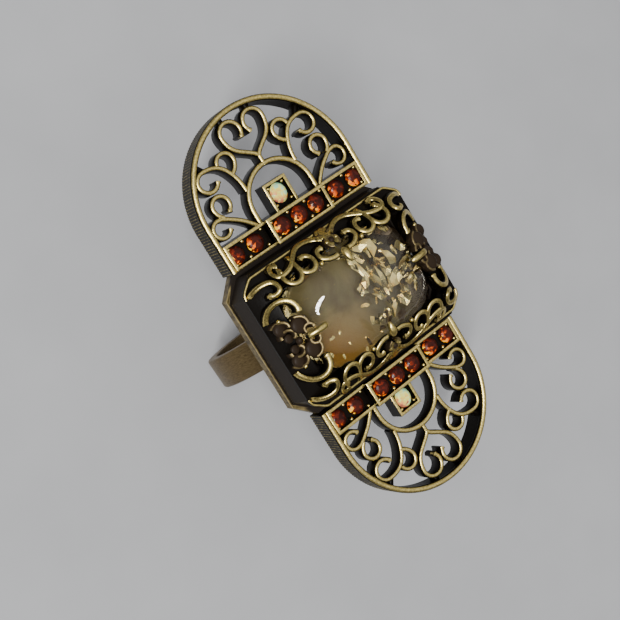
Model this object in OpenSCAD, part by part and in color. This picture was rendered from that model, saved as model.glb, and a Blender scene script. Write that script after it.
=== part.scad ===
// Long openwork cocktail ring: two filigree end panels, a tray with a scroll
// crown that holds a domed cushion stone, two jewelled bars and a round shank.
// Millimetres. +Z is square out of the face, +Y runs along the face and the
// finger, and the origin is the centre of the finger hole.

/* [Shank] */
// Diameter of the finger hole
finger_d = 18.4; // [15:0.1:21]
// Thickness of the band
band_t = 1.1; // [0.8:0.1:1.6]
// Width of the band along the finger
band_w = 3.2; // [2.4:0.1:5]
// Lean of the band's lower side towards the lower panel, in degrees
band_lean = 6; // [0:1:10]

/* [Panels] */
// Width of each end panel
panel_w = 17; // [15:0.5:18]
// Distance from the ring's centre to the middle of the panel's round end
panel_round_y = 11.9; // [11.5:0.1:14]
// Width of the rim that runs round each panel
rim_t = 0.55; // [0.4:0.05:0.8]
// Height of the rim wall
rim_h = 2.6; // [1.6:0.1:3.2]
// Width of the filigree wires
wire_t = 0.38; // [0.3:0.02:0.5]
// Height of the filigree wires
wire_h = 1.9; // [1:0.1:2.1]
// Depth of the wires' tops below the rim
wire_drop = 0.4; // [0.2:0.1:0.6]

/* [Jewelled bars] */
// Distance from the ring's centre to the bar's inner side
bar_y = 7.55; // [7.5:0.05:8]
// Width of the bar along the face
bar_w = 2.5; // [2.3:0.1:2.8]
// Width of the cell walls
cell_t = 0.3; // [0.2:0.05:0.4]
// Half length of the raised middle cell
middle_half = 3.35; // [3.2:0.05:3.5]
// Height of the middle cell above the outer cells
middle_up = 0.65; // [0.3:0.05:0.9]
// Depth of the cells below their walls' tops
cell_deep = 0.6; // [0.5:0.05:0.8]
// Diameter of the small round stones
chaton_d = 1.7; // [1.5:0.05:1.9]

/* [Tray and crown] */
// Half length of the tray across the finger
tray_x = 9.9; // [9.6:0.1:10.5]
// Height of the tray above the bars' tops
tray_up = 1.2; // [0.8:0.1:1.6]
// Height of the crown's scrolls above the tray
crown_h = 2.9; // [2.6:0.1:3.2]
// Length of the cushion stone across the finger
stone_x = 14; // [13:0.5:14.5]
// Width of the cushion stone along the finger
stone_y = 10; // [9:0.5:10.5]
// Height of the stone's dome above its girdle
dome_h = 3.9; // [3:0.1:4.2]

/* [Hidden] */
$fn = 64;
TINY = 0.01;
finger_r = finger_d / 2;
band_r = finger_r + band_t;
panel_half = panel_w / 2;
tip_y = panel_round_y + panel_half;
bar_far = bar_y + bar_w;
bar_half = panel_half - rim_t;
bar_mid_y = bar_y + bar_w / 2;
floor_z = -rim_h;                                // underside of the face
band_drop = 0.3;                                 // the band sits this far towards the lower panel
band_sink = 0.25;                                // depth of the flat where it meets the tray
hole_y = -band_drop - band_r * sin(band_lean);   // finger hole, seen from the face's centre
hole_z = floor_z - (band_r - band_sink) * cos(band_lean);

// Tray: outline of its foot and of its top
foot_chamfer_x = 1.4;
foot_chamfer_y = 1.85;
foot_z = -1.3;                                   // top edge of the foot flange
tray_top_x = 9.4;
tray_top_y = 7.0;
pocket_gap = 0.15;
pocket_z = -0.7;
girdle_z = 1.2;                                  // underside of the stone's girdle
girdle_h = 0.35;
foil_t = 0.12;
culet_z = pocket_z + foil_t;
culet_share = 0.6;                               // pavilion's bottom as a share of its top

// Chatons: places across the bar, as the middle cell's and the outer cells'
chaton_r = chaton_d / 2;
chaton_crown = 0.32;
chaton_pavilion = 0.7;
chaton_sink = 0.12;                              // girdle's height above the cell floor
seat_r = chaton_r * (1 - chaton_sink / chaton_pavilion);
middle_pitch = 2.0;
outer_places = [4.9, 7.1];
CHATON_X = [-outer_places[1], -outer_places[0], -middle_pitch, 0, middle_pitch,
            outer_places[0], outer_places[1]];
accent_half = 1.3;
accent_far = bar_far + 2.6;
accent_drop = 0.75;
accent_y = bar_far + 1.3;
bead_r = 0.16;

UPPER_CHATONS = [for (i = [1:7]) str("upper_chaton_", i)];
LOWER_CHATONS = [for (i = [1:7]) str("lower_chaton_", i)];

BRASS = [0.55, 0.45, 0.25];
AMBER = [0.75, 0.22, 0.05];

// ---- Frames ----

// Moves the face, drawn with the bars' tops at z = 0, to the finger hole's frame
module on_face() { translate([0, -hole_y, -hole_z]) children(); }

// The upper end as drawn, or turned half a turn for the lower end
module at_end(lower) { on_face() rotate([0, 0, lower ? 180 : 0]) children(); }

// ---- Curves ----

// Points along an arc round c, from angle a to angle b
function arc(c, r, a, b, n = 14) =
    [for (i = [0:n]) c + r * [cos(a + (b - a) * i / n), sin(a + (b - a) * i / n)]];

// Direction of a path at point i
function heading(p, i) =
    let (d = p[min(i + 1, len(p) - 1)] - p[max(i - 1, 0)]) d / norm(d);

// A flat wire of width w along path p, with round ends
module wire(p, w = wire_t) {
    side = [for (i = [0:len(p) - 1]) let (h = heading(p, i)) [-h[1], h[0]] * w / 2];
    polygon(concat([for (i = [0:len(p) - 1]) p[i] + side[i]],
                   [for (i = [len(p) - 1:-1:0]) p[i] - side[i]]));
    for (end = [p[0], p[len(p) - 1]]) translate(end) circle(d = w, $fn = 24);
}

// A shape and its mirror image across the face's long axis
module both_sides() {
    children();
    mirror([1, 0]) children();
}

// ---- Shank ----

module shank() {
    color(BRASS) difference() {
        rotate([90 - band_lean, 0, 0]) difference() {
            cylinder(r = band_r, h = band_w, center = true, $fn = 128);
            cylinder(r = finger_r, h = band_w + 1, center = true, $fn = 128);
        }
        // flat seat that is soldered to the tray's underside
        translate([-band_r, -band_r, floor_z - hole_z]) cube(2 * band_r);
    }
}

// ---- Tray ----

// Half outline of the tray with its corners cut, mirrored to a whole
function cut_corners(x, y, cx, cy) =
    [[x, -y + cy], [x, y - cy], [x - cx, y], [-x + cx, y], [-x, y - cy], [-x, -y + cy],
     [-x + cx, -y], [x - cx, -y]];

module rounded(x, y, r) {
    translate([-x + r, -y]) square([2 * (x - r), 2 * y]);
    translate([-x, -y + r]) square([2 * x, 2 * (y - r)]);
    for (sx = [-1, 1], sy = [-1, 1]) translate([sx * (x - r), sy * (y - r)]) circle(r);
}

module base_tray() {
    color(BRASS) on_face() difference() {
        union() {
            translate([0, 0, floor_z]) linear_extrude(foot_z - floor_z)
                polygon(cut_corners(tray_x, bar_y, foot_chamfer_x, foot_chamfer_y));
            tray_wall();
        }
        translate([0, 0, pocket_z]) linear_extrude(tray_up - pocket_z + 1)
            rounded(stone_x / 2 + pocket_gap, stone_y / 2 + pocket_gap, 1.6);
    }
}

// The dark wall that leans in from the foot to the crown
module tray_wall() {
    wall_foot_x = tray_x - 0.1;
    intersection() {
        translate([0, 0, foot_z - TINY]) linear_extrude(tray_up - foot_z + TINY)
            polygon(cut_corners(tray_x, tray_top_y, foot_chamfer_x, foot_chamfer_y));
        rotate([90, 0, 0]) linear_extrude(2 * bar_y, center = true)
            polygon([[-wall_foot_x, foot_z - 1], [wall_foot_x, foot_z - 1], [wall_foot_x, foot_z],
                     [tray_top_x, tray_up], [-tray_top_x, tray_up], [-wall_foot_x, foot_z]]);
    }
}

// ---- Crown ----

crown_in_x = 6.55;                               // opening between the scrolls' tops
crown_in_y = 4.3;
crown_t = 0.55;
collar_h = 0.5;
claw_w = 1.0;
claw_reach = 1.0;                                // how far a claw lies over the stone

// Flat scrollwork for one side: u runs along the side, v up the slope
module scrollwork(half, rise) {
    both_sides() {
        // long S-scroll from the flower out to its curl
        wire(concat(arc([half * 0.36, rise * 0.3], rise * 0.42, 175, 60),
                    arc([half * 0.78, rise * 0.72], rise * 0.24, 250, 430)), 0.4);
        // drop loops that hang over the stone
        for (place = [0.3, 0.56]) translate([half * place, rise * 0.72]) difference() {
            circle(rise * 0.26);
            circle(rise * 0.26 - 0.4);
        }
        wire([[half * 0.16, 0], [half * 0.3, rise * 0.5]], 0.4);
        wire([[half * 0.9, 0], [half * 0.72, rise * 0.5]], 0.4);
    }
    // flower on the middle of the side
    for (turn = [30, 90, 150]) translate([0, rise * 0.35])
        rotate(turn) translate([rise * 0.16, 0]) circle(rise * 0.15);
    translate([-0.45, 0]) square([0.9, rise * 0.9]);
}

module crown_side(out, in, half) {
    run = out - in;
    slope = atan2(crown_h - collar_h, run);
    rise = run / cos(slope);
    translate([0, -out, tray_up + collar_h]) rotate([slope, 0, 0]) {
        translate([0, 0, -crown_t]) linear_extrude(crown_t) scrollwork(half, rise);
        // leaf claw that lies over the stone's shoulder
        translate([-claw_w / 2, rise - 1.2, -crown_t]) cube([claw_w, 1.2, crown_t]);
    }
    translate([0, -in, tray_up + crown_h]) rotate([22, 0, 0])
        translate([0, 0, -0.36]) linear_extrude(crown_t)
            polygon([[-claw_w / 2, -0.1], [claw_w / 2, -0.1], [0, claw_reach]]);
}

module gallery_crown() {
    color([0.42, 0.34, 0.2]) on_face() {
        translate([0, 0, tray_up]) linear_extrude(collar_h) difference() {
            polygon(cut_corners(tray_top_x, tray_top_y, 1.3, 1.6));
            rounded(stone_x / 2 + 0.3, stone_y / 2 + 0.3, 1.6);
        }
        for (turn = [0, 180]) rotate([0, 0, turn]) {
            crown_side(tray_top_y - 0.05, crown_in_y, 6.6);
            rotate([0, 0, 90]) crown_side(tray_top_x - 0.05, crown_in_x, 4.4);
        }
    }
}

// ---- Centre stone ----

sides = 64;
dome_rings = 10;

// One ring of a cushion outline, share s of full size, at height z
function cushion_ring(s, z) =
    [for (i = [0:sides - 1]) let (a = 360 * i / sides, c = cos(a), d = sin(a),
                                  k = pow(pow(abs(c), 4) + pow(abs(d), 4), -0.25))
        [s * stone_x / 2 * k * c, s * stone_y / 2 * k * d, z]];

// A closed solid through a stack of rings
module stack(rings) {
    n = len(rings);
    bands = [for (j = [0:n - 2]) for (i = [0:sides - 1])
        [(j + 1) * sides + i, (j + 1) * sides + (i + 1) % sides,
         j * sides + (i + 1) % sides, j * sides + i]];
    caps = [[for (i = [0:sides - 1]) i], [for (i = [sides - 1:-1:0]) (n - 1) * sides + i]];
    polyhedron([for (ring = rings) each ring], concat(bands, caps));
}

module centre_stone() {
    dome = [for (j = [0:dome_rings]) let (a = 88 * j / dome_rings)
        cushion_ring(cos(a), girdle_z + girdle_h + dome_h * sin(a))];
    color([0.6, 0.52, 0.3, 0.8]) on_face()
        stack(concat([cushion_ring(culet_share, culet_z), cushion_ring(0.98, girdle_z)], dome));
}

module stone_foil() {
    color([0.8, 0.65, 0.3]) on_face() difference() {
        stack([cushion_ring(culet_share + 0.02, pocket_z), cushion_ring(1, girdle_z)]);
        stack([cushion_ring(culet_share, culet_z), cushion_ring(0.98, girdle_z),
               cushion_ring(0.98, girdle_z + 1)]);
    }
}

// ---- End panels ----

module round_end(inset) {
    translate([0, panel_round_y]) intersection() {
        circle(panel_half - inset, $fn = 128);
        translate([-panel_w, 0]) square([2 * panel_w, panel_w]);
    }
    translate([inset - panel_half, bar_y]) square([panel_w - 2 * inset, panel_round_y - bar_y]);
}

// Right half of the scrollwork inside a panel
module panel_scrolls() {
    big_c = [5.6, 13.95];
    big_r = 2.7;
    end_r = 1.03;
    small = [3.2, 16.3];
    heart = [1.45, 18.3];
    heart_r = 1.05;
    tip_curl = [5.95, 13.25];
    bar_curl = [6.95, 11.6];
    curl_r = 0.83;
    arch_r = 3.5;
    arch_y = 11.05;
    // half of the arch over the accent stone
    wire(concat([[arch_r, bar_far]], arc([0, arch_y], arch_r, 0, 91)));
    // large C with its curl by the rim
    wire(concat(arc(big_c, big_r, 192, 90),
                arc(big_c + [0, big_r - end_r], end_r, 88, -110)));
    // small curl on the large C
    wire(arc(small, 0.9, -10, 235));
    // half of the heart at the tip, and its stem
    wire(concat(arc(heart, heart_r, 228, -52), [[1.2, 16.5], [0.5, 15.9], [0, 15.2]]));
    wire([[0, arch_y + arch_r], [0, 15.4]]);
    // stem by the bar with its two curls
    wire(concat([[3.9, bar_far + 0.1], [4.8, 11.35], [5.8, 12.1]], arc(bar_curl, curl_r, 105, -135)));
    wire(concat([[6.2, 12.3]], arc(tip_curl, curl_r, -25, 240)));
    // webs that tie the curls to the rim
    translate([0, tip_y - rim_t - 0.6]) square([2.2, 0.5]);
    translate([heart[0] + 0.2, heart[1] + heart_r - 0.2]) square([0.9, 0.6]);
    translate([6.5, 15.4]) square([0.5, 0.5]);
    translate([7.6, 11.5]) square([0.5, 0.5]);
}

module panel(lower) {
    color(BRASS) at_end(lower) {
        translate([0, 0, floor_z]) linear_extrude(rim_h - rim_t / 2) difference() {
            round_end(0);
            translate([0, -TINY]) round_end(rim_t);
        }
        // rounded bead along the top of the rim
        bead_at = panel_half - rim_t / 2;
        translate([0, panel_round_y, -rim_t / 2]) rotate_extrude(angle = 180, $fn = 128)
            translate([bead_at, 0]) circle(d = rim_t, $fn = 24);
        for (side = [-1, 1]) translate([side * bead_at, bar_y, -rim_t / 2])
            rotate([-90, 0, 0]) cylinder(d = rim_t, h = panel_round_y - bar_y, $fn = 24);
        translate([0, 0, -wire_drop - wire_h]) linear_extrude(wire_h) intersection() {
            both_sides() panel_scrolls();
            difference() {
                round_end(rim_t / 2);
                translate([-panel_w, 0]) square([2 * panel_w, bar_far]);
                translate([-accent_half, 0]) square([2 * accent_half, accent_far]);
            }
        }
    }
}

// ---- Jewelled bars ----

module beads(places, z) {
    for (x = places, side = [-1, 1])
        translate([x, bar_mid_y + side * (bar_w / 2 - cell_t - bead_r + 0.02), z])
            sphere(bead_r, $fn = 20);
}

module stone_bar(lower) {
    inner_w = bar_w - 2 * cell_t;
    outer_from = middle_half + cell_t;
    outer_len = bar_half - cell_t - outer_from;
    middle_floor = middle_up - cell_deep;
    color([0.35, 0.28, 0.16]) at_end(lower) difference() {
        union() {
            difference() {
                union() {
                    translate([-bar_half, bar_y, floor_z]) cube([2 * bar_half, bar_w, rim_h]);
                    translate([-middle_half, bar_y, -1])
                        cube([2 * middle_half, bar_w, 1 + middle_up]);
                }
                for (side = [0, 1]) mirror([side, 0, 0])
                    translate([outer_from, bar_y + cell_t, -cell_deep])
                        cube([outer_len, inner_w, 2]);
                translate([cell_t - middle_half, bar_y + cell_t, middle_floor])
                    cube([2 * (middle_half - cell_t), inner_w, 2]);
            }
            for (side = [-1, 1])
                beads([side * 3.85, side * 6.0, side * 7.5], -cell_deep);
            beads([-2.95, -1.0, 1.0, 2.95], middle_floor);
        }
        for (i = [0:6]) translate([CHATON_X[i], bar_mid_y, chaton_floor(i) - 0.65])
            cylinder(r = seat_r, h = 1, $fn = 32);
    }
}

// Floor height under chaton i: the middle three stand higher
function chaton_floor(i) = (i >= 2 && i <= 4) ? middle_up - cell_deep : -cell_deep;

// A brilliant-cut stone with its girdle at z = 0
module brilliant() {
    rotate_extrude($fn = 48) polygon([[0, -chaton_pavilion + 0.08], [0.08, -chaton_pavilion + 0.08],
        [chaton_r, 0], [chaton_r, 0.06], [chaton_r * 0.55, chaton_crown], [0, chaton_crown]]);
}

module chaton(lower, i) {
    color(AMBER) at_end(lower)
        translate([CHATON_X[i], bar_mid_y, chaton_floor(i) + chaton_sink]) brilliant();
}

// ---- Accent stones inside the arches ----

module accent_setting(lower) {
    top = -accent_drop;
    color(BRASS) at_end(lower) difference() {
        translate([-accent_half, bar_far, floor_z])
            cube([2 * accent_half, accent_far - bar_far, top - floor_z]);
        translate([cell_t - accent_half, bar_far, top - cell_deep])
            cube([2 * (accent_half - cell_t), accent_far - bar_far - cell_t, 2]);
        translate([0, accent_y, top - cell_deep - 0.65]) cylinder(r = seat_r, h = 1, $fn = 32);
    }
}

module accent_chaton(lower) {
    color([0.85, 0.9, 0.7]) at_end(lower)
        translate([0, accent_y, chaton_sink - accent_drop - cell_deep]) brilliant();
}

// ---- Nodes ----

shank();
base_tray();
gallery_crown();
centre_stone();
stone_foil();
panel(lower = false);  // upper_panel
panel(lower = true);  // lower_panel
stone_bar(lower = false);  // upper_stone_bar
stone_bar(lower = true);  // lower_stone_bar
accent_setting(lower = false);  // upper_accent_setting
accent_setting(lower = true);  // lower_accent_setting
accent_chaton(lower = false);  // upper_accent_chaton
accent_chaton(lower = true);  // lower_accent_chaton
for (i = [0:6]) chaton(false, i);
for (i = [0:6]) chaton(true, i);
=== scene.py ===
import math
import random

import bmesh
import bpy
from mathutils import Matrix, Vector


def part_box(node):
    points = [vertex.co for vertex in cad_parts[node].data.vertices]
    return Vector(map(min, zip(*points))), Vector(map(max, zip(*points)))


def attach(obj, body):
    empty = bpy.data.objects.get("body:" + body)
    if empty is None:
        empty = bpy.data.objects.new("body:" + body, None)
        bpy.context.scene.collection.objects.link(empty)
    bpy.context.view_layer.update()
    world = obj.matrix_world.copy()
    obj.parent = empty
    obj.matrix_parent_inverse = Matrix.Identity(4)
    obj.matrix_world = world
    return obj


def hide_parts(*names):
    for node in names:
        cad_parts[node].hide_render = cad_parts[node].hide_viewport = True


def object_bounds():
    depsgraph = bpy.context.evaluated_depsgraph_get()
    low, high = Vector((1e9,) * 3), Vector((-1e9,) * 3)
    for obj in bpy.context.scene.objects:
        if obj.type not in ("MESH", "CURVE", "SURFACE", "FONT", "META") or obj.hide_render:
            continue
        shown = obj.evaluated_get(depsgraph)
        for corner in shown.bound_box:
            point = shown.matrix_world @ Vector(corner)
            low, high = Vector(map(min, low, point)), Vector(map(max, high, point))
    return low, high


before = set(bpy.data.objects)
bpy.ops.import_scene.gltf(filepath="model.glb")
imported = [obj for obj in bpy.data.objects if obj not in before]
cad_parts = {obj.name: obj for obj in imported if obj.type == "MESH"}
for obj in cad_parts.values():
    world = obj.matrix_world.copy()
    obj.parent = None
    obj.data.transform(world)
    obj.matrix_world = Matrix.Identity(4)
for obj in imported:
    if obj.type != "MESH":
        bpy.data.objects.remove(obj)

cad_box = [list(corner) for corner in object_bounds()]

# ---- Bench: camera, floor and light ----
# The ring stands on its band on a pale matt board, lit by a soft bright room
# that is brightest overhead, and by one long strip of light near the eye.

MM = 0.001
tray_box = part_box("base_tray")
# middle of the face, level with the tops of the jewelled bars' outer cells
FACE = Vector((0, (tray_box[0].y + tray_box[1].y) / 2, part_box("upper_panel")[1].z))

eye = FACE + Vector((-42.1, 17.6, 87.9)) * MM
view_right, view_up = Vector((0.746, -0.516, 0.421)), Vector((0.538, 0.839, 0.075))
lens = 62.25
near_clip = 0.005

right = view_right.normalized()
back = right.cross(view_up).normalized()
camera = bpy.data.objects.new("camera", bpy.data.cameras.new("camera"))
bpy.context.collection.objects.link(camera)
camera.data.lens = lens
camera.data.clip_start = near_clip
camera.matrix_world = (Matrix.Translation(eye)
                       @ Matrix((right, back.cross(right), back)).transposed().to_4x4())
bpy.context.scene.camera = camera


def drop_selection():
    """Leaves nothing selected, so that the next operator acts on its own piece."""
    bpy.ops.object.select_all(action="DESELECT")


def new_material(name):
    """A new material, with its nodes, its links and its Principled shader."""
    material = bpy.data.materials.new(name)
    material.use_nodes = True
    nodes, links = material.node_tree.nodes, material.node_tree.links
    return material, nodes, links, nodes["Principled BSDF"]


def noise_at(nodes, links, scale, detail=3.0, roughness=0.6, stretch=(1, 1, 1)):
    """Noise on the piece's own coordinates, at so many grains to the millimetre."""
    place = nodes.new("ShaderNodeTexCoord")
    grid = nodes.new("ShaderNodeMapping")
    grid.inputs["Scale"].default_value = [1000 * scale * s for s in stretch]
    noise = nodes.new("ShaderNodeTexNoise")
    noise.inputs["Scale"].default_value = 1.0
    noise.inputs["Detail"].default_value = detail
    noise.inputs["Roughness"].default_value = roughness
    links.new(place.outputs["Object"], grid.inputs["Vector"])
    links.new(grid.outputs["Vector"], noise.inputs["Vector"])
    return noise.outputs["Fac"]


def ramp_of(nodes, links, source, stops):
    """A colour ramp over a value; stops are (position, colour)."""
    ramp = nodes.new("ShaderNodeValToRGB")
    marks = ramp.color_ramp.elements
    while len(marks) < len(stops):
        marks.new(0.5)
    for mark, (at, colour) in zip(marks, stops):
        mark.position = at
        mark.color = (*colour, 1)
    links.new(source, ramp.inputs["Fac"])
    return ramp.outputs["Color"]


board_size = 1.6

drop_selection()
bpy.ops.mesh.primitive_plane_add(size=board_size, location=(0, 0, cad_box[0][2]))
bpy.ops.object.transform_apply(location=True)
board = bpy.context.object
board.name = "board"
board_paint, nodes, links, shader = new_material("board_paint")
links.new(ramp_of(nodes, links, noise_at(nodes, links, 0.05),
                  [(0.3, (0.36, 0.362, 0.37)), (0.7, (0.40, 0.402, 0.41))]),
          shader.inputs["Base Color"])
shader.inputs["Roughness"].default_value = 0.85
board.data.materials.append(board_paint)


strip_place = Vector((-0.245, 0.02, 0.43))     # from the middle of the face, in metres
strip_size = (0.036, 0.29)
strip_turn = math.radians(42)
strip_power = 3.3

lamp = bpy.data.lights.new("strip_light", "AREA")
lamp.shape = "RECTANGLE"
lamp.size, lamp.size_y = strip_size
lamp.energy = strip_power
strip = bpy.data.objects.new("strip_light", lamp)
bpy.context.collection.objects.link(strip)
strip.location = FACE + strip_place
strip.rotation_euler = (-strip_place).to_track_quat("-Z", "Y").to_euler()
strip.rotation_euler.rotate_axis("Z", strip_turn)

brightest_way = (0.26, 0.02, 0.965)            # a little to the right of overhead
room_strength = 0.9

room = bpy.data.worlds.new("room")
bpy.context.scene.world = room
room.use_nodes = True
nodes, links = room.node_tree.nodes, room.node_tree.links
sky_way = nodes.new("ShaderNodeTexCoord")
overhead = nodes.new("ShaderNodeVectorMath")
overhead.operation = "DOT_PRODUCT"
overhead.inputs[1].default_value = brightest_way
links.new(sky_way.outputs["Generated"], overhead.inputs[0])
links.new(ramp_of(nodes, links, overhead.outputs["Value"], [
    (0.0, (0.03, 0.03, 0.032)), (0.4, (0.15, 0.153, 0.16)), (0.92, (1.0, 1.0, 1.0))]),
    nodes["Background"].inputs["Color"])
nodes["Background"].inputs["Strength"].default_value = room_strength

# ---- Shank ----
# The band: a flat strip of brass, brushed round, bent into a hoop and soldered
# to the tray's underside on a flat filed across its top. It wears the colour
# of old brass all over and is only a little darker in its scratches.

finger_r = 9.2
band_t = 1.1
band_w = 3.2
band_lean = math.radians(6)
band_edge = 0.22
band_steps = 120
underside = -2.6         # of the whole face, where the band is filed flat


def select_where(mesh_edit, rule, kind="verts"):
    """In edit mode, selects only the verts, edges or faces for which rule is true."""
    for each in (*mesh_edit.verts, *mesh_edit.edges, *mesh_edit.faces):
        each.select = False
    modes = {"verts": "VERT", "edges": "EDGE", "faces": "FACE"}
    bpy.ops.mesh.select_mode(type=modes[kind])
    for each in getattr(mesh_edit, kind):
        if rule(each):
            each.select_set(True)
    mesh_edit.select_flush_mode()


def edit(piece):
    """Starts work on a piece in edit mode; returns its edit mesh."""
    drop_selection()
    piece.select_set(True)
    bpy.context.view_layer.objects.active = piece
    bpy.ops.object.mode_set(mode="EDIT")
    return bmesh.from_edit_mesh(piece.data)


def leave_edit(piece):
    """Closes seams, points the faces outwards and goes back to object mode."""
    bpy.ops.mesh.select_all(action="SELECT")
    bpy.ops.mesh.remove_doubles(threshold=0.0005)
    bpy.ops.mesh.normals_make_consistent(inside=False)
    bpy.ops.object.mode_set(mode="OBJECT")


def polish(piece, rule):
    """Marks how bright each place has been rubbed: rule(place, normal) gives 0 to 1."""
    rubbed = piece.data.attributes.get("rubbed") or piece.data.attributes.new(
        "rubbed", "FLOAT", "POINT")
    for spot, vert in zip(rubbed.data, piece.data.vertices):
        spot.value = rule(vert.co, vert.normal)


def settle(piece, name, node, material, lower=False, smooth=30):
    """Takes a piece drawn in millimetres round the middle of the face to its
    place in metres, names it and hands it to the frame."""
    turn = Matrix.Rotation(math.pi, 4, "Z") if lower else Matrix()
    piece.data.transform(Matrix.Translation(FACE) @ Matrix.Scale(MM, 4) @ turn)
    piece.name = piece.data.name = name
    if material:
        piece.data.materials.clear()
        piece.data.materials.append(material)
    drop_selection()
    piece.select_set(True)
    bpy.context.view_layer.objects.active = piece
    if smooth:
        bpy.ops.object.shade_smooth_by_angle(angle=math.radians(smooth))
    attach(piece, "root")
    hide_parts(node)


def old_brass(name, bright, dull, shade, bright_from=0.42, bright_to=0.72, grain=6.0,
              scratch=(1, 1, 1), bump=0.25, rough=(0.22, 0.38), shade_rough=0.34):
    """Brass under a dark patina. Where "rubbed" is high the metal shows bright,
    and a fine noise breaks the boundary; the hollows stay dark and a little glossy."""
    fray = 0.30          # how far the noise moves the boundary
    material, nodes, links, shader = new_material(name)
    rubbed = nodes.new("ShaderNodeAttribute")
    rubbed.attribute_name = "rubbed"
    worn = nodes.new("ShaderNodeMath")
    worn.operation = "MULTIPLY_ADD"
    worn.inputs[1].default_value = fray
    links.new(noise_at(nodes, links, grain * 0.5), worn.inputs[0])
    links.new(rubbed.outputs["Fac"], worn.inputs[2])
    edge = nodes.new("ShaderNodeMapRange")
    edge.interpolation_type = "SMOOTHSTEP"
    edge.inputs["From Min"].default_value = bright_from + fray / 2
    edge.inputs["From Max"].default_value = bright_to + fray / 2
    links.new(worn.outputs["Value"], edge.inputs["Value"])
    grain_noise = noise_at(nodes, links, grain, stretch=scratch)
    metal = ramp_of(nodes, links, grain_noise, [(0.35, dull), (0.62, bright)])
    colour = nodes.new("ShaderNodeMix")
    colour.data_type = "RGBA"
    colour.inputs[6].default_value = (*shade, 1)
    links.new(edge.outputs["Result"], colour.inputs[0])
    links.new(metal, colour.inputs[7])
    links.new(colour.outputs[2], shader.inputs["Base Color"])
    sheen = nodes.new("ShaderNodeMapRange")
    sheen.inputs["To Min"].default_value = rough[0]
    sheen.inputs["To Max"].default_value = rough[1]
    links.new(noise_at(nodes, links, grain * 0.7), sheen.inputs["Value"])
    surface = nodes.new("ShaderNodeMix")
    surface.inputs[2].default_value = shade_rough
    links.new(edge.outputs["Result"], surface.inputs[0])
    links.new(sheen.outputs["Result"], surface.inputs[3])
    links.new(surface.outputs[0], shader.inputs["Roughness"])
    ridge = nodes.new("ShaderNodeBump")
    ridge.inputs["Strength"].default_value = bump
    ridge.inputs["Distance"].default_value = 0.00006
    links.new(grain_noise, ridge.inputs["Height"])
    links.new(ridge.outputs["Normal"], shader.inputs["Normal"])
    links.new(edge.outputs["Result"], shader.inputs["Metallic"])
    shader.inputs["Specular IOR Level"].default_value = 0.08
    return material


band_brass = old_brass("band_brass", (0.22, 0.155, 0.07), (0.12, 0.085, 0.04),
                       (0.06, 0.045, 0.025), grain=2.2, scratch=(1, 6, 1),
                       rough=(0.32, 0.5), bump=0.2)

drop_selection()
bpy.ops.mesh.primitive_plane_add(size=1, location=(finger_r + band_t / 2, 0, 0))
bpy.ops.object.transform_apply(location=True)
shank = bpy.context.object
edit(shank)              # the strip's section: its thickness along x, its width along y
bpy.ops.mesh.select_all(action="SELECT")
bpy.ops.transform.resize(value=(band_t, band_w, 1),
                         center_override=(finger_r + band_t / 2, 0, 0))
bpy.ops.mesh.bevel(offset=band_edge, segments=3, affect="VERTICES")
bpy.ops.mesh.select_all(action="SELECT")
bpy.ops.mesh.spin(steps=band_steps, angle=math.tau, center=(0, 0, 0), axis=(0, 1, 0))
bpy.ops.mesh.select_all(action="SELECT")
bpy.ops.mesh.remove_doubles(threshold=0.002)
select_where(bmesh.from_edit_mesh(shank.data), lambda face: len(face.verts) > 4, "faces")
bpy.ops.mesh.delete(type="ONLY_FACE")
bpy.ops.mesh.select_all(action="SELECT")
bpy.ops.transform.rotate(value=band_lean, orient_axis="X", center_override=(0, 0, 0))
bpy.ops.transform.translate(value=(0, -FACE.y / MM, -FACE.z / MM))
bpy.ops.mesh.select_all(action="SELECT")
bpy.ops.mesh.bisect(plane_co=(0, 0, underside), plane_no=(0, 0, 1), clear_outer=True,
                    use_fill=True)
leave_edit(shank)
polish(shank, lambda place, normal: 0.8)
settle(shank, "shank_band", "shank", band_brass, smooth=40)

# ---- Tray ----
# The middle casting: a foot flange with a bright rubbed edge, and a smooth dark
# wall that leans in to the crown. Its pocket takes the foil and the big stone.

foot_x, foot_y = 9.9, 7.55
foot_cut_x, foot_cut_y = 1.4, 1.85
foot_top = -1.3
foot_edge = 0.13
foot_worn = 0.46         # how brightly the foot's side is rubbed
ledge_x, ledge_y, ledge_down = 9.72, 7.0, 0.12   # the foot's top slopes down to the wall
wall_x, wall_top = 9.4, 1.2
pocket_x, pocket_y, pocket_floor = 7.15, 5.15, -0.7

antique_brass = old_brass("antique_brass", (0.82, 0.65, 0.22), (0.44, 0.34, 0.11),
                          (0.0035, 0.0024, 0.0014))
tray_brass = old_brass("tray_brass", (0.60, 0.46, 0.19), (0.36, 0.27, 0.12),
                       (0.018, 0.014, 0.011), bright_from=0.30, bright_to=0.85, grain=3.0,
                       shade_rough=0.42)


def block(low, high):
    """A plain block between two corners, the start of a cast piece."""
    drop_selection()
    middle = [(a + b) / 2 for a, b in zip(low, high)]
    bpy.ops.mesh.primitive_cube_add(size=1, location=middle,
                                    scale=[b - a for a, b in zip(low, high)])
    bpy.ops.object.transform_apply(location=True, scale=True)
    return bpy.context.object


def cut_corners(x, y, cut_x, cut_y):
    """In edit mode, saws the four upright corners off the whole piece."""
    for side_x in (-1, 1):
        for side_y in (-1, 1):
            bpy.ops.mesh.select_all(action="SELECT")
            bpy.ops.mesh.bisect(plane_co=(side_x * x, side_y * (y - cut_y), 0),
                                plane_no=(side_x * cut_y, side_y * cut_x, 0),
                                clear_outer=True, use_fill=True)


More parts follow.
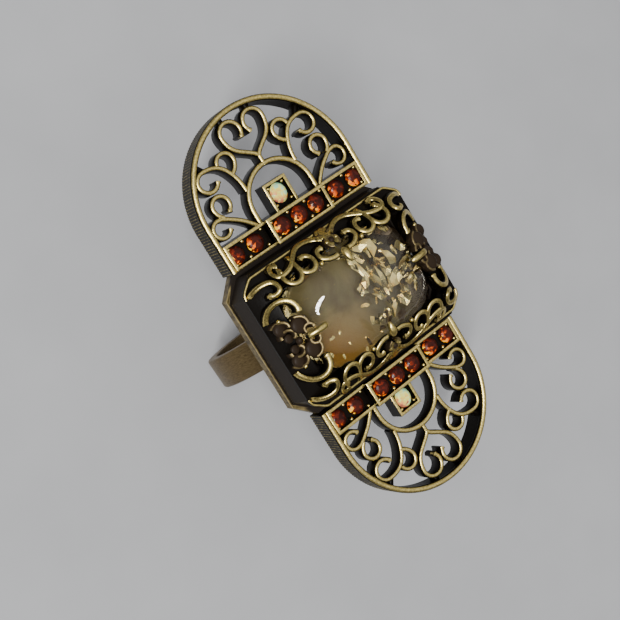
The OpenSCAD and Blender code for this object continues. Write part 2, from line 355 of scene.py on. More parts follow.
def raise_top(piece, level, to, stretch=(1, 1)):
    """Takes the flat top at a level up or down to a new level, scaled about the middle."""
    select_where(bmesh.from_edit_mesh(piece.data),
                 lambda f: abs(f.calc_center_median().z - level) < 1e-3
                 and f.normal.z > 0.9 and f.calc_center_median().xy.length < 0.5, "faces")
    bpy.ops.mesh.extrude_region_move(TRANSFORM_OT_translate={"value": (0, 0, to - level)})
    bpy.ops.transform.resize(value=(*stretch, 1), center_override=(0, 0, 0))


def tray_rub(place, normal):
    """The foot's side is worn, its top edge is bright at the two ends, and the
    wall and the pocket stay dark."""
    x, y = abs(place.x), abs(place.y)
    if place.z < foot_top - 0.2:
        return foot_worn
    saw = Vector((foot_cut_y, foot_cut_x)).normalized()    # square to the sawn corner
    past_corner = saw.dot((x, y)) - saw.dot((foot_x, foot_y - foot_cut_y))
    on_edge = x > foot_x - 0.15 or y > foot_y - 0.25 or past_corner > -0.18
    on_top = foot_top - 0.14 < place.z < foot_top + 0.02
    at_end = x > foot_x - 1.5
    return 1.0 if on_top and on_edge and at_end else 0.0


tray = block((-foot_x, -foot_y, underside), (foot_x, foot_y, foot_top))
edit(tray)
cut_corners(foot_x, foot_y, foot_cut_x, foot_cut_y)
bpy.ops.mesh.select_all(action="SELECT")
bpy.ops.mesh.bisect(plane_co=(0, 0, foot_top - 0.3), plane_no=(0, 0, 1))
raise_top(tray, foot_top, foot_top - ledge_down, (ledge_x / foot_x, ledge_y / foot_y))
raise_top(tray, foot_top - ledge_down, wall_top, (wall_x / ledge_x, 1))
raise_top(tray, wall_top, wall_top, (pocket_x / wall_x, pocket_y / ledge_y))
raise_top(tray, wall_top, pocket_floor)
select_where(bmesh.from_edit_mesh(tray.data),
             lambda e: all(abs(v.co.z - foot_top) < 1e-3 for v in e.verts), "edges")
bpy.ops.mesh.bevel(offset=foot_edge, segments=3)
leave_edit(tray)
polish(tray, tray_rub)
settle(tray, "tray_casting", "base_tray", tray_brass, smooth=25)

# ---- End panels ----
# Two like castings, one at each end: a tall reeded rim with a rounded bead
# along its top, and inside it scrolls with bright tops and black sides.

panel_half = 8.5
round_y = 11.9           # where the straight sides end and the half round starts
rim_wall = 0.5
rib_pitch, rib_deep = 0.268, 0.06
crest_worn, valley_worn = 0.53, 0.25     # how brightly the ribs are rubbed
bead_w = 0.60
scroll_w, scroll_h, scroll_top = 0.46, 1.85, -0.4
arch_w, scroll_bulb = 0.54, 0.3
web_h, web_down = 1.3, 0.3


def draw_wire(start, heading, turns, width, depth, top=0.0, sides=10, bulb=0.0):
    """Draws a wire with a rounded top and straight sides, lying in the face's
    plane, as with a pen: turns are (radius, degrees to the left), or (0, length)
    for a straight run. Its top is rubbed bright."""
    drop_selection()
    x, y = start
    aim = math.radians(heading)
    bpy.ops.mesh.primitive_circle_add(
        vertices=sides, radius=width / 2, fill_type="NGON",
        location=(x, y, top - width / 2), rotation=(math.pi / 2, 0, aim + math.pi / 2))
    bpy.ops.object.transform_apply(location=True, rotation=True, scale=True)
    wire = bpy.context.object
    rubbed = wire.data.attributes.new("rubbed", "FLOAT", "POINT")
    for spot, vert in zip(rubbed.data, wire.data.vertices):
        spot.value = min(1, max(0, 1.25 + 1.9 * (vert.co.z - top) / (width / 2)))
    mesh_edit = edit(wire)
    select_where(mesh_edit, lambda v: v.co.z < top - width / 2 - 1e-5)
    bpy.ops.transform.translate(value=(0, 0, width - depth))
    bpy.ops.mesh.select_all(action="SELECT")
    for radius, turn in turns:
        if radius == 0:
            step = (turn * math.cos(aim), turn * math.sin(aim), 0)
            bpy.ops.mesh.extrude_region_move(TRANSFORM_OT_translate={"value": step})
            x, y = x + step[0], y + step[1]
            continue
        side = math.copysign(1, turn)
        centre = (x - side * radius * math.sin(aim), y + side * radius * math.cos(aim))
        arc = radius * math.radians(abs(turn))
        steps = max(2, round(abs(turn) / 15), round(arc / 0.4))
        bpy.ops.mesh.spin(steps=steps, angle=-math.radians(turn),
                          center=(*centre, 0), axis=(0, 0, 1))
        aim += math.radians(turn)
        x = centre[0] + side * radius * math.sin(aim)
        y = centre[1] - side * radius * math.cos(aim)
    if bulb:                              # the end swells a little and is rounded off
        for forward, swell in ((0.144, 1 + bulb), (0.24, 1.0), (0.12, 0.6 / (1 + bulb))):
            step = Vector((math.cos(aim), math.sin(aim), 0)) * forward * width
            bpy.ops.mesh.extrude_region_move(TRANSFORM_OT_translate={"value": step})
            x, y = x + step.x, y + step.y
            bpy.ops.transform.resize(value=(swell, swell, 1), center_override=(x, y, 0))
    leave_edit(wire)
    return wire


def ball(place, radius, bright=1.0, sides=12, flat=1.0):
    """A small rounded bead of metal, or a low boss on a stalk where flat is under 1."""
    drop_selection()
    bpy.ops.mesh.primitive_uv_sphere_add(segments=sides, ring_count=8, radius=radius,
                                         location=place)
    bpy.ops.object.transform_apply(location=True)
    bead = bpy.context.object
    for vert in bead.data.vertices:
        above = vert.co.z - place[2]
        vert.co.z = place[2] + above * (flat if above > 0 else 2 - flat)
    polish(bead, lambda at, normal: bright * min(1, max(0, 0.75 + normal.z)))
    return bead


def mirrored(piece, across="X"):
    """A piece with its own mirror image joined to it, faces set outwards again."""
    drop_selection()
    piece.select_set(True)
    bpy.context.view_layer.objects.active = piece
    bpy.ops.object.duplicate()
    twin = bpy.context.object
    flip = Vector((-1, 1, 1)) if across == "X" else Vector((1, -1, 1))
    twin.data.transform(Matrix.Diagonal((*flip, 1)))
    twin.data.flip_normals()
    return joined([piece, twin])


def joined(pieces):
    """Several meshes made one piece."""
    drop_selection()
    for each in pieces:
        each.select_set(True)
    bpy.context.view_layer.objects.active = pieces[0]
    bpy.ops.object.join()
    return bpy.context.object


PANEL_SCROLLS = {
    "arch": ((3.38, 9.9), 90, [(0, 1.1), (3.38, 91)]),
    "large_scroll": ((2.9, 13.1), 92, [(4.3, -36), (1.9, -41), (3.0, -15), (0, 0.2),
                                       (0.97, -235)]),
    "small_scroll": ((4.1, 16.35), 100, [(0.88, 190), (1.5, 45)]),
    "heart": ((0.0, 15.2), 62, [(1.2, -28), (0, 1.3), (2.0, 48), (0, 0.3), (1.06, 222)]),
    "bar_scroll": ((3.8, 10.0), 55, [(6.0, -22), (0, 0.75), (1.5, -33), (0.84, -232)]),
    "side_scroll": ((6.1, 12.15), 35, [(1.3, 50), (0.88, 235)]),
}
# webs that tie the scrolls to the rim, well below the scrolls' tops
PANEL_WEBS = [((1.45, 19.1), 80, 0.8, 0.7), ((5.4, 16.5), 55, 1.0, 0.6)]


def reeded_wall():
    """The rim's wall: a strip taken round the end with fine upright ribs outside."""
    drop_selection()
    bpy.ops.mesh.primitive_plane_add(size=1, location=(0, 0, 0))
    wall = bpy.context.object
    outer, inner = panel_half - rib_deep, panel_half - rim_wall
    corners = [(inner, underside), (outer, underside), (outer, -bead_w / 2),
               (inner, -bead_w / 2)]
    order = sorted(wall.data.vertices, key=lambda v: math.atan2(v.co.y, v.co.x))
    for vert, (across, level) in zip(order, corners):
        vert.co = (across, foot_y, level)
    edit(wall)
    bpy.ops.mesh.select_all(action="SELECT")
    side = round_y - foot_y
    straight = 2 * round(side / rib_pitch)
    bend = 2 * round(math.pi * panel_half / rib_pitch)
    for leg in (1, -1):
        for _ in range(straight):
            bpy.ops.mesh.extrude_region_move(TRANSFORM_OT_translate={
                "value": (0, leg * side / straight, 0)})
        if leg == 1:
            bpy.ops.mesh.spin(steps=bend, angle=-math.pi, center=(0, round_y, 0),
                              axis=(0, 0, 1))
    leave_edit(wall)
    crests = set()
    for vert in wall.data.vertices:       # every other column stands out as a rib
        if vert.co.y > round_y:
            middle = Vector((0, round_y))
            along = math.atan2(vert.co.y - round_y, vert.co.x) / math.pi * bend
        else:
            middle = Vector((0, vert.co.y))
            along = (vert.co.y - foot_y) / side * straight
        out = (vert.co.xy - middle)
        if out.length > panel_half - rim_wall / 2:
            crest = round(along) % 2
            sunk = 0 if crest else rib_deep
            vert.co.xy = middle + out.normalized() * (panel_half - sunk)
            if crest:
                crests.add(tuple(round(c, 3) for c in vert.co.xy))
    polish(wall, lambda place, normal:
           crest_worn if tuple(round(c, 3) for c in place.xy) in crests else valley_worn)
    return wall


def make_panel():
    """One whole panel, drawn as the upper one."""
    parts = [draw_wire(start, heading, turns, arch_w if name == "arch" else scroll_w,
                       scroll_h, scroll_top, bulb=0 if name == "arch" else scroll_bulb)
             for name, (start, heading, turns) in PANEL_SCROLLS.items()]
    for start, heading, length, wide in PANEL_WEBS:
        web = draw_wire(start, heading, [(0, length)], wide, web_h, scroll_top - web_down)
        polish(web, lambda place, normal: 0.0)
        parts.append(web)
    half = mirrored(joined(parts))
    bead_x = panel_half - bead_w / 2
    bead = draw_wire((bead_x, foot_y), 90, [(0, round_y - foot_y), (bead_x, 90)],
                     bead_w, bead_w + 0.1)
    # the heart's stem lies on the mirror line, so it is made once
    stem = draw_wire((0.0, 14.2), 90, [(0, 0.95)], scroll_w, scroll_h, scroll_top - 0.03)
    return joined([half, mirrored(bead), stem, reeded_wall()])


for lower in (False, True):
    end = "lower" if lower else "upper"
    settle(make_panel(), end + "_filigree", end + "_panel", antique_brass,
           lower, smooth=50)

# ---- Jewelled bars ----
# A bar of three cells across each panel's straight end, the middle one raised.
# Bright narrow walls, black floors, and small bead prongs raised from the metal.

bar_far_y = 10.05
bar_mid_y = (foot_y + bar_far_y) / 2
bar_half = panel_half - 0.55
middle_half = 3.35
middle_up = 0.65
cell_t = 0.3
cell_deep = 0.6
cell_ease = 0.07
prong_r, prong_up = 0.19, 0.26
outer_prongs, middle_prongs = (3.85, 6.0, 7.55), (1.0, 2.9)


def open_cell(x_from, x_to, y_from, y_to, top, wall=cell_t):
    """A block with a sunk floor; its wall tops are eased and rubbed bright."""
    cell = block((x_from, y_from, underside), (x_to, y_to, top))
    select_where(edit(cell), lambda f: f.normal.z > 0.9, "faces")
    bpy.ops.mesh.inset(thickness=wall)
    bpy.ops.mesh.extrude_region_move(TRANSFORM_OT_translate={"value": (0, 0, -cell_deep)})
    select_where(bmesh.from_edit_mesh(cell.data),
                 lambda e: all(v.co.z > top - 1e-3 for v in e.verts), "edges")
    bpy.ops.mesh.bevel(offset=cell_ease, segments=2)
    leave_edit(cell)
    polish(cell, lambda place, normal: 1.0 if place.z > top - 0.05 else
           0.45 if place.z > top - 0.1 else 0.0)
    return cell


def bar_prongs():
    """Bead prongs in a row along both walls of every cell."""
    beads = []
    half_gap = (bar_far_y - foot_y) / 2 - cell_t - 0.15
    for places, top in ((outer_prongs, 0), (middle_prongs, middle_up)):
        level = top - cell_deep + prong_up
        for x in places:
            for side in (-1, 1):
                for end_x in (x, -x):
                    beads.append(ball((end_x, bar_mid_y + side * half_gap, level),
                                      prong_r, 1.3))
    return joined(beads)


for lower in (False, True):
    end = "lower" if lower else "upper"
    bar = joined([
        open_cell(-bar_half, -middle_half + cell_t, foot_y, bar_far_y, 0),
        open_cell(middle_half - cell_t, bar_half, foot_y, bar_far_y, 0),
        open_cell(-middle_half, middle_half, foot_y, bar_far_y, middle_up),
        bar_prongs()])
    settle(bar, end + "_bar", end + "_stone_bar", antique_brass, lower,
           smooth=40)

# ---- Square settings ----
# A small open box of the same brass inside each arch, soldered to the bar and
# lower than it. It has a bead prong in each corner and holds the pale stone.

accent_half, accent_l = 1.3, 2.6
accent_top = -0.75
accent_mid_y = bar_far_y + accent_l / 2
accent_wall, accent_prong_r = 0.28, 0.17
accent_prongs = [(-0.85, 0.35), (0.85, 0.35), (-0.8, 2.1), (0.8, 2.1)]

for lower in (False, True):
    end = "lower" if lower else "upper"
    setting = joined(
        [open_cell(-accent_half, accent_half, bar_far_y - cell_t, bar_far_y + accent_l,
                   accent_top, accent_wall)]
        + [ball((x, bar_far_y + y, accent_top - 0.3), accent_prong_r)
           for x, y in accent_prongs])
    settle(setting, end + "_square_setting", end + "_accent_setting",
           antique_brass, lower, smooth=40)

# ---- Chatons ----
# Round brilliant-cut glass stones with foiled backs: seven orange-red ones in
# each bar, and a pale one with an iridescent coat in each square setting.

chaton_r, pavilion = 0.85, 0.7
# height of the girdle and of the two rows of facets over it, and how each narrows
CUT_ROWS = ((0.06, 1.0), (0.22, 0.80), (0.10, 0.72))
seat_up = 0.14           # the girdle's height over the cell's floor
pale_oval = 1.14
chaton_places = [-7.1, -4.9, -2.0, 0.0, 2.0, 4.9, 7.1]


def cut_glass(name, stops, size, rough, coat, painted_glow=0.0):
    """Foiled glass with its light painted in: cells of painted flashes of different depth
    under a clear hard surface. The flash mark is a painted highlight and painted shade,
    one side of each stone bright and the other dark, and glow is a painted glow: an
    emission that lights the flashes a little, standing in for the light the foil throws
    back."""
    flash_range = 0.62
    material, nodes, links, shader = new_material(name)
    place = nodes.new("ShaderNodeTexCoord")
    grid = nodes.new("ShaderNodeMapping")
    grid.inputs["Scale"].default_value = (1000 / size,) * 3
    cells = nodes.new("ShaderNodeTexVoronoi")
    cells.inputs["Scale"].default_value = 1.0
    links.new(place.outputs["Object"], grid.inputs["Vector"])
    links.new(grid.outputs["Vector"], cells.inputs["Vector"])
    split = nodes.new("ShaderNodeSeparateColor")
    links.new(cells.outputs["Color"], split.inputs["Color"])
    painted_flash = nodes.new("ShaderNodeAttribute")
    painted_flash.attribute_name = "painted_flash"
    lit = nodes.new("ShaderNodeMath")
    lit.operation = "MULTIPLY_ADD"
    lit.inputs[1].default_value = flash_range
    links.new(split.outputs["Red"], lit.inputs[0])
    links.new(painted_flash.outputs["Fac"], lit.inputs[2])
    tint = ramp_of(nodes, links, lit.outputs["Value"], stops)
    links.new(tint, shader.inputs["Base Color"])
    # painted glow: the stone emits its own colours a little, standing in for light thrown
    # back by the foil
    links.new(tint, shader.inputs["Emission Color"])
    shader.inputs["Emission Strength"].default_value = painted_glow
    shader.inputs["Roughness"].default_value = rough
    shader.inputs["Coat Weight"].default_value = coat
    shader.inputs["Coat Roughness"].default_value = 0.03
    shader.inputs["Specular IOR Level"].default_value = 0.12
    return material


# the ramp runs from painted shade in near-black wine to painted highlights in bright orange
# and yellow, over the stone's own wine red
orange_glass = cut_glass("orange_glass", [
    (0.0, (0.016, 0.003, 0.002)), (0.45, (0.045, 0.007, 0.004)),
    (0.64, (0.13, 0.013, 0.004)), (0.78, (0.80, 0.12, 0.005)), (0.92, (1.0, 0.55, 0.02))],
    size=0.27, rough=0.28, coat=0.03, painted_glow=0.45)
# the pale stone's green, yellow and pink are its coat's own colours; which side shows which
# is painted light, set by the same painted highlight
pale_glass = cut_glass("pale_glass", [
    (0.0, (0.38, 0.72, 0.46)), (0.30, (0.70, 0.84, 0.36)), (0.48, (0.84, 0.72, 0.12)),
    (0.68, (0.86, 0.33, 0.12)), (0.9, (0.40, 0.12, 0.08))], size=0.36, rough=0.2, coat=0.1)


def brilliant(place, twist, lower, lean=(1, 0.35), middle=0.08, depth=0.30):
    """A cut stone: a flat table, two rows of crown facets, a thin girdle and a pavilion.
    Its painted highlight, the flash mark, falls from one side of the stone to the other,
    along lean, which is turned over for the lower end, so that both ends are painted as lit
    from the same side."""
    x, y, girdle = place
    drop_selection()
    bpy.ops.mesh.primitive_cone_add(vertices=16, radius1=chaton_r, radius2=0.05,
                                    depth=pavilion, location=(x, y, girdle - pavilion / 2),
                                    rotation=(math.pi, 0, twist))
    bpy.ops.object.transform_apply(location=True, rotation=True, scale=True)
    stone = bpy.context.object
    mesh_edit = edit(stone)
    for level, share in CUT_ROWS:
        select_where(mesh_edit, lambda f: f.normal.z > 0.99, "faces")
        bpy.ops.mesh.extrude_region_move(TRANSFORM_OT_translate={"value": (0, 0, level)})
        bpy.ops.transform.resize(value=(share, share, 1), center_override=(x, y, girdle))
        if share < 1:                     # each row is turned by half a facet
            bpy.ops.transform.rotate(value=math.pi / 16, orient_axis="Z",
                                     center_override=(x, y, girdle))
        mesh_edit = bmesh.from_edit_mesh(stone.data)
    bpy.ops.mesh.quads_convert_to_tris(quad_method="BEAUTY", ngon_method="BEAUTY")
    leave_edit(stone)
    turn_over = -1 if lower else 1
    # painted highlight and shade: the flash mark runs from bright on one side to dark on
    # the other, the same way in the world for both ends
    painted_flash = stone.data.attributes.new("painted_flash", "FLOAT", "POINT")
    for spot, vert in zip(painted_flash.data, stone.data.vertices):
        across = lean[0] * (vert.co.x - x) + lean[1] * (vert.co.y - y)
        spot.value = middle - depth * turn_over * across / chaton_r
    return stone


for lower in (False, True):
    end = "lower" if lower else "upper"
    for number, x in enumerate(chaton_places, 1):
        floor_z = middle_up - cell_deep if abs(x) < 3 else -cell_deep
        stone = brilliant((x, bar_mid_y, floor_z + seat_up), 0.7 * number, lower)
        node = "%s_chaton_%d" % (end, number)
        settle(stone, node + "_cut", node, orange_glass, lower, smooth=0)
    stone = brilliant((0, accent_mid_y, accent_top - cell_deep + seat_up), 0.2, lower,
                      lean=(0.5, 0.85), middle=0.06, depth=0.44)
    for vert in stone.data.vertices:
        vert.co.y = accent_mid_y + pale_oval * (vert.co.y - accent_mid_y)
    settle(stone, end + "_pale_stone", end + "_accent_chaton", pale_glass,
           lower, smooth=0)

# ---- Foil and centre stone ----
# A domed cushion of smoky yellow glass with scraps of gold leaf cast into it,
# laid on a tinted foil in the tray's pocket. The crown's claws hold it down.

stone_x, stone_y = 7.0, 5.0
girdle_low, girdle_top = 1.2, 1.55
dome_h = 3.9
foil_x, foil_y, foil_t = 6.9, 4.9, 0.1
foil_low, foil_rise = -0.5, 1.7
foil_flat = 0.62         # the share of the foil that lies flat on the pocket's floor
foil_round = 0.16

drop_selection()
bpy.ops.mesh.primitive_grid_add(x_subdivisions=30, y_subdivisions=22, size=2)
foil = bpy.context.object
for vert in foil.data.vertices:
    u, v = vert.co.x, vert.co.y
    slope = max(0, (max(abs(u), abs(v)) - foil_flat) / (1 - foil_flat))
    vert.co = (u * (1 - foil_round * v ** 4) * foil_x,
               v * (1 - foil_round * u ** 4) * foil_y, foil_low + foil_rise * slope ** 2)
edit(foil)
bpy.ops.mesh.select_all(action="SELECT")
bpy.ops.mesh.extrude_region_move(TRANSFORM_OT_translate={"value": (0, 0, -foil_t)})
leave_edit(foil)

scrap_t = 0.03
scatter = 6              # degrees that a scrap strays from the lean that catches the light
random.seed(11)


def flake(place, size):
    """One scrap of leaf, thin and ragged. It leans so that its face throws the strip's
    light to the camera, more or less, which takes a different lean at each place."""
    drop_selection()
    bpy.ops.mesh.primitive_circle_add(vertices=7, radius=size, fill_type="TRIFAN")
    scrap = bpy.context.object
    for corner in scrap.data.vertices:
        if corner.co.length > 0.01:
            corner.co *= random.uniform(0.5, 1.15)
        corner.co.z = random.uniform(-0.17, 0.17) * size
    edit(scrap)
    bpy.ops.mesh.select_all(action="SELECT")
    bpy.ops.mesh.extrude_region_move(TRANSFORM_OT_translate={"value": (0, 0, scrap_t)})
    leave_edit(scrap)
    catch_y = 0.55 * place[0] ** 2 - 20.5
    catch_x = -4.8 - 2.6 * place[1]
    tilt = (Matrix.Rotation(math.radians(catch_y + random.gauss(0, scatter)), 4, "Y")
            @ Matrix.Rotation(math.radians(catch_x + random.gauss(0, scatter)), 4, "X")
            @ Matrix.Rotation(random.uniform(0, math.tau), 4, "Z")
            @ Matrix.Diagonal((1.0, random.uniform(0.4, 0.8), 1.0, 1.0)))
    scrap.data.transform(Matrix.Translation(place) @ tilt)
    return scrap


# x, y and size of the scraps that can be told apart, then of the dark ones
LARGE_SCRAPS = [(2.8, 2.6, 1.15), (3.7, 1.2, 1.0), (0.9, 1.5, 0.95), (0.5, 0.4, 0.7),
                (1.9, 0.2, 1.1), (1.3, -0.9, 0.8), (4.9, 0.1, 1.1), (4.5, -1.2, 0.9),
                (3.2, -2.2, 0.8), (2.0, 2.9, 0.8), (2.9, 0.6, 0.7), (-0.6, -2.2, 0.6),
                (1.6, -2.4, 0.7), (5.3, 1.5, 0.7), (3.3, -0.4, 0.9)]
DARK_SCRAPS = [(1.2, -2.6, 0.6), (0.2, -2.9, 0.5), (2.2, -1.6, 0.5), (2.4, -3.0, 0.6),
               (-1.6, -3.2, 0.4), (-3.2, 2.9, 0.6), (-1.8, 3.2, 0.6), (5.8, -1.6, 0.6),
               (5.2, 2.6, 0.6), (3.9, -0.1, 0.5)]
# drifts of small scraps: how many, then the spans of their x and y as shares of
# the stone's half sizes, of their height and of their size
DRIFTS = [(60, (-0.02, 0.82), (-0.50, 0.66), (1.0, 2.4), (0.25, 0.60)),
          (12, (-0.65, 0.1), (-0.72, -0.2), (0.4, 1.2), (0.10, 0.26))]

scraps = [flake((x, y, random.uniform(1.6, 2.5)), size) for x, y, size in LARGE_SCRAPS]
for count, along, across, heights, sizes in DRIFTS:
    for _ in range(count):
        u, v = random.uniform(*along), random.uniform(*across)
        scraps.append(flake((u * stone_x, v * stone_y, random.uniform(*heights)),
                            random.uniform(*sizes)))
dark_scraps = [flake((x, y, random.uniform(0.6, 1.4)), size) for x, y, size in DARK_SCRAPS]
brown_leaf, nodes, links, shader = new_material("brown_leaf")
links.new(ramp_of(nodes, links, noise_at(nodes, links, 0.9, 2.0), [
    (0.35, (0.030, 0.014, 0.005)), (0.65, (0.10, 0.055, 0.018))]),
    shader.inputs["Base Color"])
shader.inputs["Roughness"].default_value = 0.4
settle(joined(dark_scraps), "brown_leaf_scraps", "stone_foil", brown_leaf,
       smooth=0)
gold_leaf, nodes, links, shader = new_material("gold_leaf")
links.new(ramp_of(nodes, links, noise_at(nodes, links, 0.9, 2.0), [
    (0.35, (0.80, 0.56, 0.18)), (0.6, (1.0, 0.88, 0.46))]), shader.inputs["Base Color"])
shader.inputs["Metallic"].default_value = 1.0
shader.inputs["Roughness"].default_value = 0.22
settle(joined(scraps), "gold_leaf_scraps", "stone_foil", gold_leaf, smooth=0)


def fade(value, start, length):
    """Rises from 0 at start to 1 over a length; a negative length rises the other way."""
    return min(1, max(0, (value - start) / length))


FOIL_ZONES = {           # where the foil shows amber, and where painted shade darkens it to almost black at the stone's top, right and left edges
    "amber": lambda p: fade(p.y, 0.2, -3.2) * fade(p.x, 1.5, -4),
    "painted_shade": lambda p: min(1, fade(p.y, 0.6, 2.4) + fade(p.x, 2.8, 2.4)
                           + fade(p.x, -4.9, -2.5)),
}
for name, rule in FOIL_ZONES.items():
    zone = foil.data.attributes.new(name, "FLOAT", "POINT")
    for spot, vert in zip(zone.data, foil.data.vertices):
        spot.value = rule(vert.co)
foil_tint, nodes, links, shader = new_material("foil_tint")
tint = ramp_of(nodes, links, noise_at(nodes, links, 0.4, 3.0), [
    (0.36, (0.090, 0.068, 0.028)), (0.60, (0.24, 0.205, 0.096))])
# amber is the foil's own colour; the near-black is painted shade
for name, colour in (("amber", (0.32, 0.165, 0.024)), ("painted_shade", (0.026, 0.013, 0.006))):
    zone = nodes.new("ShaderNodeAttribute")
    zone.attribute_name = name
    blend = nodes.new("ShaderNodeMix")
    blend.data_type = "RGBA"
    blend.inputs[7].default_value = (*colour, 1)
    links.new(zone.outputs["Fac"], blend.inputs[0])
    links.new(tint, blend.inputs[6])
    tint = blend.outputs[2]
links.new(tint, shader.inputs["Base Color"])
shader.inputs["Metallic"].default_value = 0.4
shader.inputs["Roughness"].default_value = 0.5
settle(foil, "foil_lining", "stone_foil", foil_tint, smooth=0)


def cushion(place, power=4.0):
    """Takes a point on a round outline to the stone's cushion outline."""
    radius = place.xy.length
    if radius < 1e-6:
        return place.x, place.y
    c, s = abs(place.x) / radius, abs(place.y) / radius
    k = (c ** power + s ** power) ** (-1 / power)
    return place.x * k * stone_x, place.y * k * stone_y


drop_selection()
bpy.ops.mesh.primitive_uv_sphere_add(segments=192, ring_count=96, radius=1)
dome = bpy.context.object
edit(dome)
bpy.ops.mesh.select_all(action="SELECT")
bpy.ops.mesh.bisect(plane_co=(0, 0, 0), plane_no=(0, 0, -1), clear_outer=True,
                    use_fill=True)
leave_edit(dome)
for vert in dome.data.vertices:
    x, y = cushion(vert.co)
    vert.co = (x, y, girdle_top + dome_h * vert.co.z)
select_where(edit(dome), lambda f: f.normal.z < -0.9
             and f.calc_center_median().z < girdle_top + 0.01, "faces")
bpy.ops.mesh.extrude_region_move(
    TRANSFORM_OT_translate={"value": (0, 0, girdle_low - girdle_top)})
leave_edit(dome)
smoky_glass, nodes, links, shader = new_material("smoky_glass")
links.new(ramp_of(nodes, links, noise_at(nodes, links, 0.12, 1.0), [
    (0.35, (0.90, 0.85, 0.68)), (0.65, (0.97, 0.95, 0.84))]), shader.inputs["Base Color"])
shader.inputs["Roughness"].default_value = 0.02
shader.inputs["IOR"].default_value = 1.5
shader.inputs["Transmission Weight"].default_value = 1.0
settle(dome, "smoky_dome", "centre_stone", smoky_glass, smooth=40)

# ---- Crown ----
# The openwork gallery cast on the tray: scrolls that climb and curl over the
# stone on all four sides, a flower in the middle of each, and a leaf claw that
# is pressed down on the stone. Black between the wires, bright on their tops.

crown_x, crown_y, crown_round = 9.3, 6.9, 2.0
crown_low = 1.5
crown_steep = math.radians(65)
crown_bend = 5.67
long_w, short_w, corner_w, petal_w = 0.50, 0.58, 0.54, 0.32
crown_wire_h, crown_bulb = 1.15, 0.3
frame_w, frame_h, frame_top = 0.28, 0.5, 1.68
collar_low, collar_base, collar_top = 1.2, 1.5, 2.25
collar_foot, collar_cut = (9.4, 7.0), (1.3, 1.7)
collar_step, collar_rim = (9.15, 6.72), (7.3, 5.3)


def slope_height(x, y):
    """Height of the crown's surface: a curve that starts steep at its outline
    and flattens inwards over the stone."""
    across = max(0, abs(x) - (crown_x - crown_round))
    along = max(0, abs(y) - (crown_y - crown_round))
    if across > 0 and along > 0:
        inward = crown_round - math.hypot(across, along)
    else:
        inward = min(crown_x - abs(x), crown_y - abs(y))
    steep = math.sin(crown_steep) - max(-0.3, min(inward, 5)) / crown_bend
    return crown_low + crown_bend * (math.cos(math.asin(steep)) - math.cos(crown_steep))


def drape(wire, sides=10, follow=0.5):
    """Lifts a flat wire on to the crown's slope, ring by ring."""
    verts = wire.data.vertices
    for first in range(0, len(verts), sides):
        ring = list(verts)[first:first + sides]
        x = sum(v.co.x for v in ring) / len(ring)
        y = sum(v.co.y for v in ring) / len(ring)
        lift = slope_height(x, y)
        for vert in ring:
            vert.co.z += lift + follow * (slope_height(vert.co.x, vert.co.y) - lift)
    return wire


# one quarter of the crown's wires, each as draw_wire takes it
LONG_SIDE = {
    "s_scroll": ((0.6, 6.12), 38, [(2.8, -38), (2.4, -32), (0, 0.75), (3.0, 32),
                                   (0, 0.12), (0.52, 205)]),
    "drop_stem": ((4.1, 6.5), -72, [(4.0, -18), (0.83, -90), (0.8, -90), (0.6, -100)]),
    "loop": ((4.33, 5.2), -90, [(0.87, 180), (1.1, 40)]),
    "near_curl": ((0.6, 4.35), -10, [(1.6, 50), (0.5, 150)]),
    "flower_loop": ((0.25, 5.2), 30, [(0.42, 260)]),
    "flower_top": ((0.2, 6.1), 0, [(0.3, 270)]),
}
SHORT_SIDE = {
    "c_scroll": ((9.08, 2.5), 100, [(2.0, 30), (1.15, 105), (1.3, 40)]),
}
CORNER = {
    "corner_scroll": ((9.1, 5.3), 140, [(1.95, 55), (0.62, 190)]),
}
FRAME_LINE = ((9.33, 5.22), 90, [(0, 0.08), (0.8, 52), (0, 0.95), (0.8, 38), (0, 7.8)])
# x, y and radius of the beads, which are polished
BEADS = [(2.38, 4.47, 0.22), (8.3, 2.3, 0.2), (5.75, 5.7, 0.18), (0.55, 5.6, 0.22)]
PETALS = {
    "petal": ((7.3, 2.0), 180, [(0.80, 105)]),
    "back_petal": ((8.75, 0.7), 80, [(0.5, 230)]),
    "side_petal": ((9.0, 1.9), 120, [(0.6, 150)]),
    "near_petal": ((7.0, 0.35), 60, [(0.4, 200)]),
    "long_petal": ((0.3, 5.1), 20, [(0.45, 200)]),
    "top_petal": ((1.0, 6.2), 120, [(0.4, 220)]),
}
# x, y, radius, brightness and flatness of the low bosses that fill the flowers
BOSSES = [(7.15, 1.2, 0.80, 0.43, 0.28), (8.45, 1.6, 0.66, 0.42, 0.32),
          (8.3, 0.55, 0.42, 0.42, 0.25)]
# the flowers' hearts lie on the mirror lines, so each is made once
HEARTS = [(0, 5.6, 0.32), (0, -5.6, 0.32), (7.75, 0, 0.36), (-7.75, 0, 0.36)]


def crown_wires(group, wide):
    """The wires of one group, laid on the crown's slope."""
    return [drape(draw_wire(start, heading, turns, wide, crown_wire_h, bulb=crown_bulb))
            for start, heading, turns in group.values()]


def crown_ball(x, y, radius, bright=1.0, flat=1.0):
    """A bead or a boss, sunk a little into the crown's slope."""
    return ball((x, y, slope_height(x, y) - 0.2), radius, bright, flat=flat)


parts = (crown_wires(LONG_SIDE, long_w) + crown_wires(SHORT_SIDE, short_w)
         + crown_wires(CORNER, corner_w) + [crown_ball(*each) for each in BEADS]
         + [draw_wire(*FRAME_LINE, frame_w, frame_h, frame_top)])
scrolls = mirrored(mirrored(joined(parts)), "Y")
petals = crown_wires(PETALS, petal_w) + [crown_ball(*each) for each in BOSSES]
flowers = joined([mirrored(mirrored(joined(petals)), "Y")]
                 + [crown_ball(*each, bright=0.45) for each in HEARTS])
flower_brass = old_brass("flower_brass", (0.30, 0.23, 0.10), (0.17, 0.12, 0.055),
                         (0.022, 0.014, 0.008), bright_from=0.5, bright_to=1.1,
                         rough=(0.38, 0.5), shade_rough=0.42)
settle(flowers, "crown_flowers", "gallery_crown", flower_brass, smooth=50)


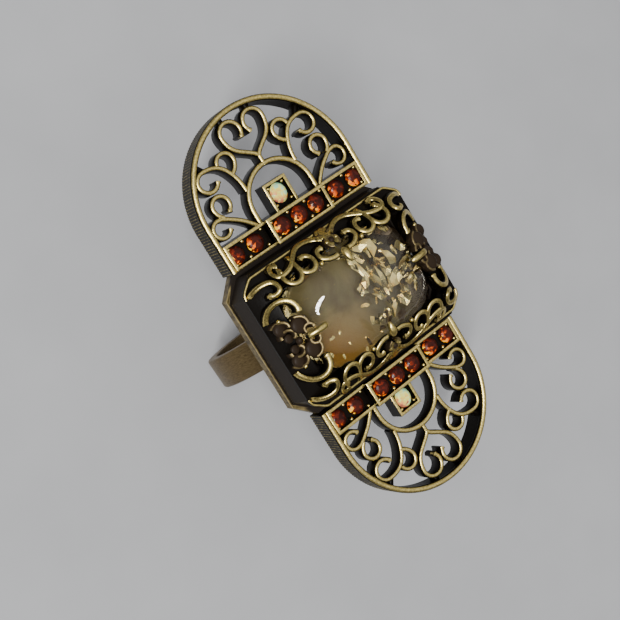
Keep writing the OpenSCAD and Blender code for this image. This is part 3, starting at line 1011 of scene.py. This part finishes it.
def leaf_claw(x, y, aim, length=1.6, root=0.6, blunt=False):
    """A leaf or a blunt finger laid over the stone's shoulder: a ball drawn out
    lengthwise and bowed. It is bright at its tip and stays dark at its root."""
    drop_selection()
    bpy.ops.mesh.primitive_uv_sphere_add(segments=16, ring_count=10, radius=0.5)
    leaf = bpy.context.object
    tilt = (Matrix.Rotation(math.radians(aim), 4, "Z")
            @ Matrix.Rotation(math.radians(-15), 4, "Y"))
    for vert in leaf.data.vertices:
        side = 0.95 - 0.45 * (vert.co.x + 0.5)
        if blunt:
            side = 0.55 * (1 + 1.2 * (2 * vert.co.x) ** 2)
        vert.co = (vert.co.x * length, vert.co.y * side,
                   vert.co.z * 0.6 - 0.15 * (vert.co.x * length) ** 2)
    polish(leaf, lambda place, normal: min(1, max(0, 0.55 + normal.z)
           * (root + (1 - root) * min(1, 0.9 + 2 * place.x / length))))
    leaf.data.transform(Matrix.Translation((x, y, slope_height(x, y) + 0.05)) @ tilt)
    return leaf


claws = [leaf_claw(0, 3.95, -90), leaf_claw(0, -3.95, 90),
         leaf_claw(-6.3, 0, 0, length=2.3, root=0.3, blunt=True),
         leaf_claw(6.3, 0, 180, length=2.3, root=0.3, blunt=True)]
settle(joined([scrolls] + claws), "crown_scrolls", "gallery_crown",
       antique_brass, smooth=50)

# the dark collar behind the wires, open in the middle for the stone
backing = block((-collar_foot[0], -collar_foot[1], collar_low), (*collar_foot, collar_base))
edit(backing)
cut_corners(*collar_foot, *collar_cut)
raise_top(backing, collar_base, collar_base,
          (collar_step[0] / collar_foot[0], collar_step[1] / collar_foot[1]))
raise_top(backing, collar_base, collar_top,
          (collar_rim[0] / collar_step[0], collar_rim[1] / collar_step[1]))
raise_top(backing, collar_top, collar_low + 0.01)
select_where(bmesh.from_edit_mesh(backing.data), lambda f: abs(f.normal.z) > 0.9
             and f.calc_center_median().xy.length < 0.5, "faces")
bpy.ops.mesh.delete(type="FACE")
select_where(bmesh.from_edit_mesh(backing.data), lambda e: e.is_boundary, "edges")
bpy.ops.mesh.bridge_edge_loops()
leave_edit(backing)
polish(backing, lambda place, normal: 0.0)
settle(backing, "crown_collar", "gallery_crown", antique_brass, smooth=30)
